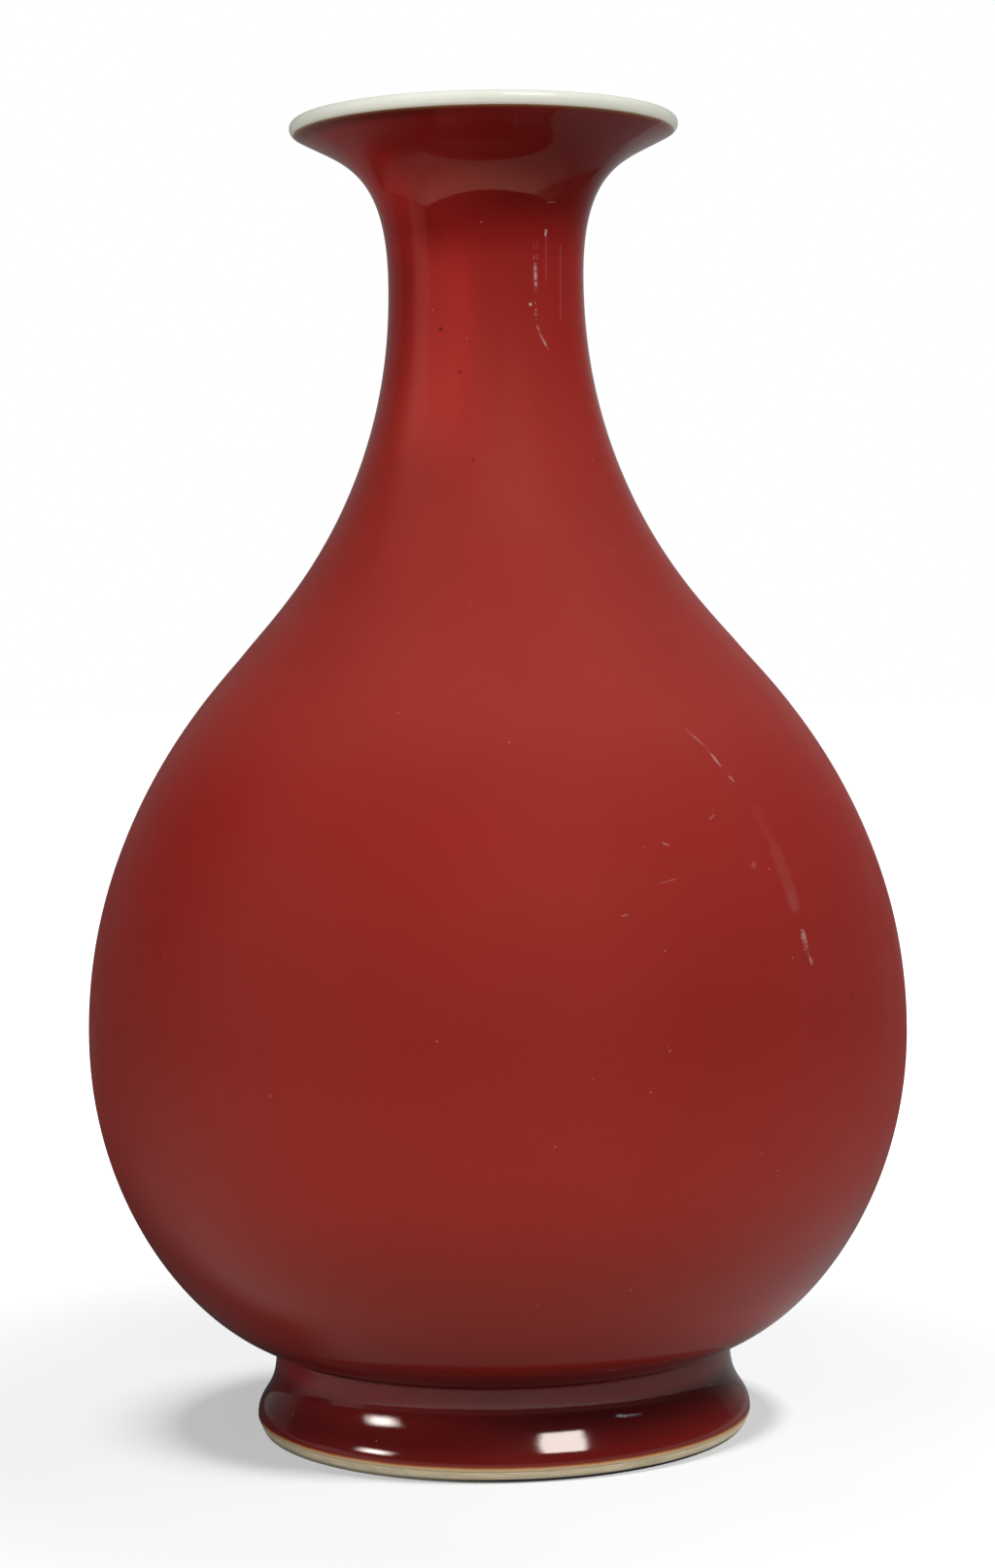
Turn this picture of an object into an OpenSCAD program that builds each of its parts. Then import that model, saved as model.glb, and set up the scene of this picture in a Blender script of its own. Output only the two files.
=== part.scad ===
// Pear-shaped porcelain bottle vase (yuhuchunping) under a copper-red glaze.
//
// It is built the way such a vase is potted: a lower belly with the floor,
// an upper belly and a neck are thrown apart and luted together with slip,
// a turned foot ring is luted under the floor, and the joined body is then
// coated - copper red outside, white glaze inside, on the lip and under the
// foot. The bottom rim of the foot stays bare, so the vase can stand on it.
//
// Millimetres. +Z is up. The origin is the centre of the foot, on the table.
// Every piece is a body of revolution. Its section is drawn in the (radius,
// height) plane from one outer silhouette of four joined curves, and each
// coat or wall lies at its own depth below that silhouette.

/* [Silhouette] */
// Height from the table to the top of the lip
height = 295; // [290:0.5:300]
// Greatest radius of the belly
belly_r = 92.5; // [88:0.25:97]
// Height of the greatest belly radius
belly_z = 90; // [85:0.5:95]
// Radius where the shoulder turns from full to hollow
shoulder_r = 55.7; // [53:0.1:58]
// Height where the shoulder turns from full to hollow
shoulder_z = 176.6; // [172:0.1:181]
// Steepness of the shoulder there, in degrees from level
shoulder_slope = 51; // [47:0.5:55]
// Radius of the neck at its narrowest
neck_r = 22; // [20:0.1:25]
// Height of the narrowest place of the neck
neck_z = 259; // [252:0.5:264]
// Greatest radius of the mouth, over the lip
mouth_r = 43.65; // [40:0.05:47]
// Steepness of the flare where it meets the lip, in degrees from level
mouth_slope = 28; // [22:0.5:34]

/* [Foot] */
// Height of the crease between foot and belly
foot_h = 19.5; // [18.5:0.1:21]
// Radius of the foot at its waist, below the crease
waist_r = 51.75; // [50.5:0.05:53]
// Height where the spreading foot starts, below the waist
waist_z = 15; // [13:0.1:16]
// Greatest radius of the glazed foot
foot_r = 56.2; // [56.1:0.05:57.5]
// Radius of the bare rim, just below the edge of the glaze
rim_r = 55.85; // [55.2:0.05:56]
// Outer radius of the flat that the vase stands on
rest_out = 54.3; // [53.6:0.05:54.6]
// Inner radius of the flat that the vase stands on
rest_in = 51.4; // [50.8:0.05:52]
// Radius of the hollow under the foot, at its top
hollow_r = 46.8; // [45:0.1:47.4]
// Height of the bare band on the outside of the foot
bare_h = 2.4; // [2:0.1:3]
// Height of the bare band inside the foot
bare_in_h = 3.2; // [2.6:0.1:4]

/* [Walls] */
// Porcelain wall thickness at the bottom of the belly
wall_foot = 4.8; // [4:0.1:6]
// Porcelain wall thickness in the neck and the lip
wall_lip = 2.6; // [2.2:0.1:3.2]
// Thickness of the floor
floor_t = 5; // [4:0.1:6.5]

/* [Glaze] */
// Thickness of the red glaze on the foot, where it has run down
red_t = 0.9; // [0.6:0.05:1.1]
// Thickness of the white glaze, and of the red glaze at the lip
white_t = 0.35; // [0.25:0.05:0.5]
// Height of the rounded edge in which the red glaze ends
bead_h = 0.7; // [0.4:0.05:0.9]
// Radius of the glaze gathered in the crease above the foot
crease_r = 0.8; // [0.4:0.1:1.2]

/* [Luted joints] */
// Thickness of the slip in a joint
slip_t = 0.5; // [0.3:0.1:0.8]
// Height of the joint between lower and upper belly
belly_joint_z = 92; // [80:0.5:100]
// Height of the joint between shoulder and neck
neck_joint_z = 206; // [196:0.5:216]
// Height of the top of the foot ring, under the joint with the floor
foot_joint_z = 16.4; // [16.1:0.1:17]

/* [Curve detail] */
// Sections drawn along each of the four curves of the silhouette
steps = 24; // [12:1:32]

/* [Hidden] */
$fn = 180;

PORCELAIN = [0.93, 0.90, 0.85];
SLIP      = [0.86, 0.82, 0.75];
RED       = [0.46, 0.07, 0.06];
WHITE     = [0.93, 0.94, 0.90];

// ---- curves ---------------------------------------------------------------

function mix(a, b, t) = a + (b - a) * t;
function clamp01(t) = max(0, min(1, t));
function turn(a) = [cos(a), sin(a)];
function unit(v) = v / norm(v);
function backwards(l) = [for (i = [len(l) - 1 : -1 : 0]) l[i]];

function bezier(p, t) =
    pow(1 - t, 3) * p[0] + 3 * pow(1 - t, 2) * t * p[1]
    + 3 * (1 - t) * t * t * p[2] + pow(t, 3) * p[3];
function bezier_dir(p, t) = unit(
    pow(1 - t, 2) * (p[1] - p[0]) + 2 * (1 - t) * t * (p[2] - p[1])
    + t * t * (p[3] - p[2]));

// The lip is a half round as thick as the wall with its coats.
lip_r = (wall_lip + 2 * white_t) / 2;
lip_start = [mouth_r - lip_r * (1 - sin(mouth_slope)),
             height - lip_r * (1 + cos(mouth_slope))];
lip_mid = lip_start + lip_r * turn(mouth_slope + 90);

// The belly rises out of the crease at this slope.
crease_slope = 16;

// Silhouette above the foot: lower belly, shoulder, neck, flare.
CURVES = [
    [[waist_r, foot_h],
     [waist_r, foot_h] + 21.5 * turn(crease_slope),
     [belly_r, belly_z - 34.5],
     [belly_r, belly_z]],
    [[belly_r, belly_z],
     [belly_r, belly_z + 50],
     [shoulder_r, shoulder_z] - 9 * turn(180 - shoulder_slope),
     [shoulder_r, shoulder_z]],
    [[shoulder_r, shoulder_z],
     [shoulder_r, shoulder_z] + 11.5 * turn(180 - shoulder_slope),
     [neck_r, neck_z - 49],
     [neck_r, neck_z]],
    [[neck_r, neck_z],
     [neck_r, neck_z + 25.5],
     lip_start - 12 * turn(mouth_slope),
     lip_start]
];

// A place u on the silhouette runs from 0 at the crease to 4 at the lip.
function leg(u) = min(3, floor(u));
function on(u) = bezier(CURVES[leg(u)], u - leg(u));
function along(u) = bezier_dir(CURVES[leg(u)], u - leg(u));
// Outward normal of the silhouette
function outward(u) = [along(u)[1], -along(u)[0]];
// Place at which the silhouette reaches the height z
function place(z, lo = 0, hi = 4, n = 36) =
    n == 0 ? (lo + hi) / 2 :
    on((lo + hi) / 2)[1] < z ? place(z, (lo + hi) / 2, hi, n - 1)
                             : place(z, lo, (lo + hi) / 2, n - 1);
// Places from a to b, on the even grid between them
function places(a, b) = concat(
    [a],
    [for (i = [0 : 4 * steps]) let (u = i / steps)
        if (u > a + 0.35 / steps && u < b - 0.35 / steps) u],
    [b]);

// ---- depths below the silhouette -------------------------------------------

// Wall and red coat get thinner from the crease up to the neck.
function rise(u) = clamp01((on(u)[1] - foot_h) / (neck_z - foot_h));
function red_depth(u) = mix(red_t, white_t, rise(u));
function wall_depth(u) = red_depth(u) + mix(wall_foot, wall_lip, rise(u));
function lining_depth(u) = wall_depth(u) + white_t;

function face(a, b)    = [for (u = places(a, b)) on(u)];
function outer(a, b)   = [for (u = places(a, b)) on(u) - red_depth(u) * outward(u)];
function inner(a, b)   = [for (u = places(a, b)) on(u) - wall_depth(u) * outward(u)];
function lining(a, b)  = [for (u = places(a, b)) on(u) - lining_depth(u) * outward(u)];

// A stretch of porcelain wall, cut square to the wall at both ends
module wall(a, b) {
    rotate_extrude() polygon(concat(outer(a, b), backwards(inner(a, b))));
}

// Half round about the middle of the lip, from outside to inside
function lip_arc(r, n = 14) =
    [for (i = [0 : n]) lip_mid + r * turn(mouth_slope - 90 + 180 * i / n)];

// ---- joints ------------------------------------------------------------------

belly_a = place(belly_joint_z - slip_t / 2);
belly_b = place(belly_joint_z + slip_t / 2);
neck_a = place(neck_joint_z - slip_t / 2);
neck_b = place(neck_joint_z + slip_t / 2);

// ---- foot ----------------------------------------------------------------------

// Glaze gathered in the crease, as an arc that touches foot and belly
crease_run = crease_r * (1 - sin(crease_slope)) / cos(crease_slope);
crease_mid = [waist_r + crease_r, foot_h - crease_run];
function crease(n = 6) = [for (i = [0 : n - 1])
    crease_mid + crease_r * turn(180 - (90 - crease_slope) * i / n)];
crease_end = place(foot_h + crease_run * sin(crease_slope));

// Face of the glaze on the foot, from its rounded edge up to the crease
FOOT_FACE = [[foot_r, bare_h + bead_h],
             [foot_r, bare_h + bead_h + 5],
             [waist_r, waist_z - 7.2],
             [waist_r, crease_mid[1] - 1.2]];
// Turned outside of the foot, which the porcelain follows under the glaze
FOOT = [[foot_r, bare_h + bead_h],
        [foot_r, bare_h + bead_h + 3],
        [waist_r, waist_z - 7],
        [waist_r, waist_z]];
foot_steps = 16;
// The glaze on the foot thins towards its lower edge.
function foot_depth(t) = mix(foot_r - rim_r, red_t, clamp01(2 * t));
function foot_face() = [for (i = [0 : foot_steps]) bezier(FOOT_FACE, i / foot_steps)];
function foot_outer() = [for (i = [0 : foot_steps])
    let (t = i / foot_steps, d = bezier_dir(FOOT, t))
        bezier(FOOT, t) - foot_depth(t) * [d[1], -d[0]]];

// Porcelain under the glaze at the waist, and its corner in the crease
core_r = waist_r - red_t;
belly_foot = on(0) - red_depth(0) * outward(0);
core_corner = [core_r, belly_foot[1] - (belly_foot[0] - core_r) * tan(crease_slope)];

// Underside of the floor, and the top of the floor at the middle
base_z = foot_joint_z + slip_t;
floor_z = base_z + floor_t;

// Bare rim: from the flat it stands on, round its outer edge to the glaze
function rim_outside(n = 8) = [for (i = [0 : n]) bezier(
    [[rest_out, 0], [rest_out + 0.7, 0],
     [rim_r - 0.25, bare_h - 1.3], [rim_r, bare_h]], i / n)];
// and round its inner edge to the slanting wall of the hollow
hollow_low = [rest_in - 1.9, bare_in_h];
function rim_inside(n = 8) = [for (i = [0 : n]) bezier(
    [hollow_low, [rest_in - 1.7, bare_in_h - 1.4],
     [rest_in - 0.8, 0], [rest_in, 0]], i / n)];

// Dished floor inside, from the wall to the middle; d is the coat on top
function dish(start, d, n = 16) = [for (i = [0 : n]) bezier(
    [start, start - 16 * along(0), [18, floor_z + d], [0, floor_z + d]], i / n)];

// ---- porcelain sections -----------------------------------------------------------

// Neck and flared mouth with its rounded lip
module neck_section() {
    color(PORCELAIN)
    rotate_extrude() polygon(concat(
        outer(neck_b, 4),
        lip_arc(lip_r - white_t),
        backwards(inner(neck_b, 4))));
}

// From the girth joint up to the shoulder joint
module upper_belly() {
    color(PORCELAIN) wall(belly_b, neck_a);
}

// Floor and lower belly
module lower_belly() {
    color(PORCELAIN)
    rotate_extrude() polygon(concat(
        [[0, base_z], [core_r, base_z], core_corner],
        outer(0, belly_a),
        backwards(inner(0, belly_a)),
        dish(inner(0, belly_a)[0], 0)));
}

// Turned ring that the vase stands on
module foot_ring() {
    color(PORCELAIN)
    rotate_extrude() polygon(concat(
        rim_outside(),
        foot_outer(),
        [[core_r, foot_joint_z], [hollow_r, foot_joint_z]],
        rim_inside()));
}

// ---- slip in the joints --------------------------------------------------------------

module neck_joint_slip() {
    color(SLIP) wall(neck_a, neck_b);
}

module belly_joint_slip() {
    color(SLIP) wall(belly_a, belly_b);
}

module foot_joint_slip() {
    color(SLIP)
    translate([0, 0, foot_joint_z])
    difference() {
        cylinder(r = core_r, h = slip_t);
        translate([0, 0, -1]) cylinder(r = hollow_r, h = slip_t + 2);
    }
}

// ---- glaze ---------------------------------------------------------------------------

// Rounded lower edge of the red coat
function bead(n = 6) = [for (i = [0 : n])
    [rim_r + (foot_r - rim_r) * cos(-90 + 90 * i / n),
     bare_h + bead_h + bead_h * sin(-90 + 90 * i / n)]];
// Copper-red coat of the whole outside
module red_glaze() {
    color(RED)
    rotate_extrude() polygon(concat(
        bead(), foot_face(), crease(), face(crease_end, 4),
        backwards(outer(0, 4)),
        [core_corner],
        backwards(foot_outer())));
}

// White glaze over the rounded lip
module lip_glaze() {
    color(WHITE)
    rotate_extrude() polygon(concat(
        lip_arc(lip_r), backwards(lip_arc(lip_r - white_t))));
}

// White lining of the neck, belly and floor
module inner_glaze() {
    color(WHITE)
    rotate_extrude() polygon(concat(
        lining(0, 4),
        backwards(inner(0, 4)),
        dish(inner(0, 4)[0], 0),
        backwards(dish(lining(0, 4)[0], white_t))));
}

// White glaze under the floor and down the inside of the foot
module base_glaze() {
    slant = unit(hollow_low - [hollow_r, foot_joint_z]);
    inset = white_t * [slant[1], -slant[0]];
    corner = [hollow_r - white_t, base_z - white_t];
    color(WHITE)
    rotate_extrude() polygon(concat(
        [[0, base_z], [0, base_z - white_t]],
        [for (i = [0 : 5]) corner - [1.2, 1.2] + 1.2 * turn(90 - 18 * i)],
        [hollow_low + inset + [0, 0.3], hollow_low,
         [hollow_r, foot_joint_z], [hollow_r, base_z]]));
}

neck_section();
upper_belly();
lower_belly();
foot_ring();
neck_joint_slip();
belly_joint_slip();
foot_joint_slip();
red_glaze();
lip_glaze();
inner_glaze();
base_glaze();
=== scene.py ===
"""Pear-shaped porcelain bottle vase under a copper-red glaze: its looks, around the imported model.

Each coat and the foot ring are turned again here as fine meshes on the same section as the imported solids,
with the slight unevenness of a hand-thrown pot, and get their glaze and clay materials.
Sections are in millimetres, (radius, height); meshes are in metres.
"""

import math

import bpy
import numpy as np
from mathutils import Matrix, Quaternion, Vector


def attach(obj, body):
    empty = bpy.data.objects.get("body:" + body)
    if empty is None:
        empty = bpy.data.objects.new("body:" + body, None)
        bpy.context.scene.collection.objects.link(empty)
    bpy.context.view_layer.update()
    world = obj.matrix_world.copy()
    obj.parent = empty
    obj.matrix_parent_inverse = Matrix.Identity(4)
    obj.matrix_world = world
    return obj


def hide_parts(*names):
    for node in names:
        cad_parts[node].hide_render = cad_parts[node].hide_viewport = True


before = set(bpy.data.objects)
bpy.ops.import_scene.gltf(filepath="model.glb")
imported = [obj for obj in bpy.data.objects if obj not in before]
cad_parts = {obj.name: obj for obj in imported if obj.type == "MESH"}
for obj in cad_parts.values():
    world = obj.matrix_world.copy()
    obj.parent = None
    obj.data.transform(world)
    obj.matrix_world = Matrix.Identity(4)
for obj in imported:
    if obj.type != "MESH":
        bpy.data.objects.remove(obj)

scene = bpy.context.scene
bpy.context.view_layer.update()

# ---- section of the vase --------------------------------------------------------------

HEIGHT = 295.0
BELLY_R, BELLY_Z = 92.5, 90.0
SHOULDER_R, SHOULDER_Z, SHOULDER_SLOPE = 55.7, 176.6, 51.0
NECK_R, NECK_Z = 22.0, 259.0
MOUTH_R, MOUTH_SLOPE = 43.65, 28.0
FOOT_H, WAIST_R, WAIST_Z = 19.5, 51.75, 15.0
FOOT_R, RIM_R, REST_OUT, REST_IN = 56.2, 55.85, 54.3, 51.4
HOLLOW_R, BARE_H, BARE_IN_H = 46.8, 2.4, 3.2
WALL_FOOT, WALL_LIP, FLOOR_T = 4.8, 2.6, 5.0
RED_T, WHITE_T, BEAD_H, CREASE_R = 0.9, 0.35, 0.7, 0.8
SLIP_T, FOOT_JOINT_Z, CREASE_SLOPE = 0.5, 16.4, 16.0


def turn(deg):
    return np.array([math.cos(math.radians(deg)), math.sin(math.radians(deg))])


def bezier(p, t):
    p, t = np.asarray(p, float), np.atleast_1d(np.asarray(t, float))[:, None]
    return (1 - t) ** 3 * p[0] + 3 * (1 - t) ** 2 * t * p[1] + 3 * (1 - t) * t * t * p[2] + t**3 * p[3]


def bezier_dir(p, t):
    p, t = np.asarray(p, float), np.atleast_1d(np.asarray(t, float))[:, None]
    d = (1 - t) ** 2 * (p[1] - p[0]) + 2 * (1 - t) * t * (p[2] - p[1]) + t * t * (p[3] - p[2])
    return d / np.linalg.norm(d, axis=1)[:, None]


LIP_R = (WALL_LIP + 2 * WHITE_T) / 2
_s, _c = turn(MOUTH_SLOPE)[1], turn(MOUTH_SLOPE)[0]
LIP_START = np.array([MOUTH_R - LIP_R * (1 - _s), HEIGHT - LIP_R * (1 + _c)])
LIP_MID = LIP_START + LIP_R * turn(MOUTH_SLOPE + 90)
WAIST = np.array([WAIST_R, FOOT_H])
SHOULDER = np.array([SHOULDER_R, SHOULDER_Z])
CURVES = [
    [WAIST, WAIST + 21.5 * turn(CREASE_SLOPE), [BELLY_R, BELLY_Z - 34.5], [BELLY_R, BELLY_Z]],
    [[BELLY_R, BELLY_Z], [BELLY_R, BELLY_Z + 50], SHOULDER - 9 * turn(180 - SHOULDER_SLOPE), SHOULDER],
    [SHOULDER, SHOULDER + 11.5 * turn(180 - SHOULDER_SLOPE), [NECK_R, NECK_Z - 49], [NECK_R, NECK_Z]],
    [[NECK_R, NECK_Z], [NECK_R, NECK_Z + 25.5], LIP_START - 12 * turn(MOUTH_SLOPE), LIP_START],
]


def on(u):
    u = np.atleast_1d(np.asarray(u, float))
    leg = np.minimum(3, np.floor(u)).astype(int)
    return np.array([bezier(CURVES[k], v - k)[0] for k, v in zip(leg, u)])


def outward(u):
    u = np.atleast_1d(np.asarray(u, float))
    leg = np.minimum(3, np.floor(u)).astype(int)
    d = np.array([bezier_dir(CURVES[k], v - k)[0] for k, v in zip(leg, u)])
    return np.stack([d[:, 1], -d[:, 0]], 1)


def place(z):
    """Place on the silhouette, from 0 at the crease to 4 at the lip, at the height z."""
    lo, hi = 0.0, 4.0
    for _ in range(40):
        mid = (lo + hi) / 2
        lo, hi = (mid, hi) if on(mid)[0][1] < z else (lo, mid)
    return (lo + hi) / 2


def even_places(a, b, step):
    """Places from a to b that lie about step millimetres apart along the silhouette."""
    u = np.linspace(a, b, 4000)
    length = np.concatenate([[0], np.cumsum(np.linalg.norm(np.diff(on(u), axis=0), axis=1))])
    n = max(2, int(round(length[-1] / step)))
    return np.interp(np.linspace(0, length[-1], n + 1), length, u)


def rise(u):
    return np.clip((on(u)[:, 1] - FOOT_H) / (NECK_Z - FOOT_H), 0, 1)


def red_depth(u):
    return RED_T + (WHITE_T - RED_T) * rise(u)


def wall_depth(u):
    return red_depth(u) + WALL_FOOT + (WALL_LIP - WALL_FOOT) * rise(u)


def below(u, depth):
    return on(u) - np.asarray(depth)[:, None] * outward(u)


def lip_arc(r, n):
    return np.array([LIP_MID + r * turn(MOUTH_SLOPE - 90 + 180 * i / n) for i in range(n + 1)])


FOOT = [[FOOT_R, BARE_H + BEAD_H], [FOOT_R, BARE_H + BEAD_H + 3], [WAIST_R, WAIST_Z - 7], [WAIST_R, WAIST_Z]]


def foot_face(n):
    return bezier(FOOT_FACE, np.linspace(0, 1, n + 1))


def foot_outer(n):
    t = np.linspace(0, 1, n + 1)
    d = bezier_dir(FOOT, t)
    depth = (FOOT_R - RIM_R) + (RED_T - FOOT_R + RIM_R) * np.clip(2 * t, 0, 1)
    return bezier(FOOT, t) - depth[:, None] * np.stack([d[:, 1], -d[:, 0]], 1)


CORE_R = WAIST_R - RED_T
BELLY_FOOT = below([0.0], red_depth([0.0]))[0]
CORE_CORNER = np.array([CORE_R, BELLY_FOOT[1] - (BELLY_FOOT[0] - CORE_R) * math.tan(math.radians(CREASE_SLOPE))])
BASE_Z = FOOT_JOINT_Z + SLIP_T
FLOOR_Z = BASE_Z + FLOOR_T
HOLLOW_LOW = np.array([REST_IN - 1.9, BARE_IN_H])
CREASE_RUN = CREASE_R * (1 - turn(CREASE_SLOPE)[1]) / turn(CREASE_SLOPE)[0]
CREASE_MID = np.array([WAIST_R + CREASE_R, FOOT_H - CREASE_RUN])
CREASE_END = place(FOOT_H + CREASE_RUN * turn(CREASE_SLOPE)[1])
FOOT_FACE = [[FOOT_R, BARE_H + BEAD_H], [FOOT_R, BARE_H + BEAD_H + 5], [WAIST_R, WAIST_Z - 7.2], [WAIST_R, CREASE_MID[1] - 1.2]]


def dish(start, d, n):
    along0 = bezier_dir(CURVES[0], 0)[0]
    return bezier([start, start - 16 * along0, [18, FLOOR_Z + d], [0, FLOOR_Z + d]], np.linspace(0, 1, n + 1))


# ---- turned meshes ------------------------------------------------------------------------


def uneven(x, y, z):
    """How far hand throwing leaves the pot off round, in metres outwards, at a place in metres."""
    a = np.arctan2(y, x)
    low = np.clip(z / 0.02, 0, 1) * np.clip((0.2945 - z) / 0.01, 0, 1)
    w = 0.055 * np.sin(2 * a + 1.1 + 9 * z) + 0.04 * np.sin(3 * a - 0.6 - 21 * z)
    w += 0.03 * np.sin(5 * a + 2.3 + 34 * z) + 0.03 * np.sin(61 * z * 2 + 0.7 + 0.5 * np.sin(a))
    return 0.001 * w * low


def lathe(name, rings, segs, mat, sharp=40.0, shown=None):
    """A closed body of revolution. rings is its section, anticlockwise; shown is how many of its first rings are seen,
    and those get most of the UV map."""
    pts = np.asarray(rings, float) * 0.001
    n = len(pts)
    ang = np.arange(segs) * 2 * math.pi / segs
    cs, sn = np.cos(ang), np.sin(ang)
    verts, start = [], []
    count = 0
    for r, z in pts:
        start.append(count)
        if r < 1e-7:
            verts.append(np.array([[0, 0, z]]))
            count += 1
        else:
            verts.append(np.stack([r * cs, r * sn, np.full(segs, z)], 1))
            count += segs
    v = np.concatenate(verts)
    rad = np.hypot(v[:, 0], v[:, 1])
    off = uneven(v[:, 0], v[:, 1], v[:, 2]) * np.clip(rad / 0.02, 0, 1)
    scale = np.where(rad > 1e-7, (rad + off) / np.maximum(rad, 1e-7), 1)
    v[:, 0] *= scale
    v[:, 1] *= scale

    seg_len = np.linalg.norm(np.diff(np.vstack([pts, pts[:1]]), axis=0), axis=1)
    shown = n if shown is None else shown
    run = np.concatenate([[0], np.cumsum(seg_len)])
    cut = run[min(shown, n)]
    if cut < run[-1] - 1e-9:
        vv = np.where(run <= cut + 1e-12, 0.004 + 0.96 * run / cut, 0.97 + 0.026 * (run - cut) / (run[-1] - cut))
    else:
        vv = 0.004 + 0.992 * run / run[-1]

    faces, uvs = [], []
    for i in range(n):
        k = (i + 1) % n
        r0, r1 = pts[i][0], pts[k][0]
        if r0 < 1e-7 and r1 < 1e-7:
            continue
        lo_v = vv[i] if i != min(shown, n) or cut >= run[-1] - 1e-9 else 0.97
        hi_v = vv[i + 1]
        for j in range(segs):
            m = (j + 1) % segs
            u0, u1 = 0.004 + 0.992 * j / segs, 0.004 + 0.992 * (j + 1) / segs
            if r0 < 1e-7:
                faces.append((start[i], start[k] + m, start[k] + j))
                uvs += [((u0 + u1) / 2, lo_v), (u1, hi_v), (u0, hi_v)]
            elif r1 < 1e-7:
                faces.append((start[i] + j, start[i] + m, start[k]))
                uvs += [(u0, lo_v), (u1, lo_v), ((u0 + u1) / 2, hi_v)]
            else:
                faces.append((start[i] + j, start[i] + m, start[k] + m, start[k] + j))
                uvs += [(u0, lo_v), (u1, lo_v), (u1, hi_v), (u0, hi_v)]
    me = bpy.data.meshes.new(name)
    me.from_pydata(v.tolist(), [], faces)
    me.update()
    layer = me.uv_layers.new(name="OFBake", do_init=False)
    layer.uv.foreach_set("vector", np.asarray(uvs, np.float32).ravel())
    me.polygons.foreach_set("use_smooth", np.ones(len(me.polygons), bool))

    # The edge of a ring is sharp where the section turns a corner.
    d = np.diff(np.vstack([pts, pts[:1]]), axis=0)
    d /= np.maximum(np.linalg.norm(d, axis=1), 1e-12)[:, None]
    bend = np.degrees(np.arccos(np.clip((np.roll(d, 1, axis=0) * d).sum(1), -1, 1)))
    corner = {i for i in range(n) if bend[i] > sharp and pts[i][0] > 1e-7}
    ring_of = np.concatenate([np.full(len(a), i) for i, a in enumerate(verts)])
    ends = np.zeros(len(me.edges) * 2, np.int32)
    me.edges.foreach_get("vertices", ends)
    ends = ends.reshape(-1, 2)
    ra, rb = ring_of[ends[:, 0]], ring_of[ends[:, 1]]
    flag = (ra == rb) & np.isin(ra, list(corner))
    attr = me.attributes.get("sharp_edge") or me.attributes.new("sharp_edge", "BOOLEAN", "EDGE")
    attr.data.foreach_set("value", flag)
    me.materials.append(mat)
    ob = bpy.data.objects.new(name, me)
    scene.collection.objects.link(ob)
    return ob


# ---- material kit ---------------------------------------------------------------------------


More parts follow.
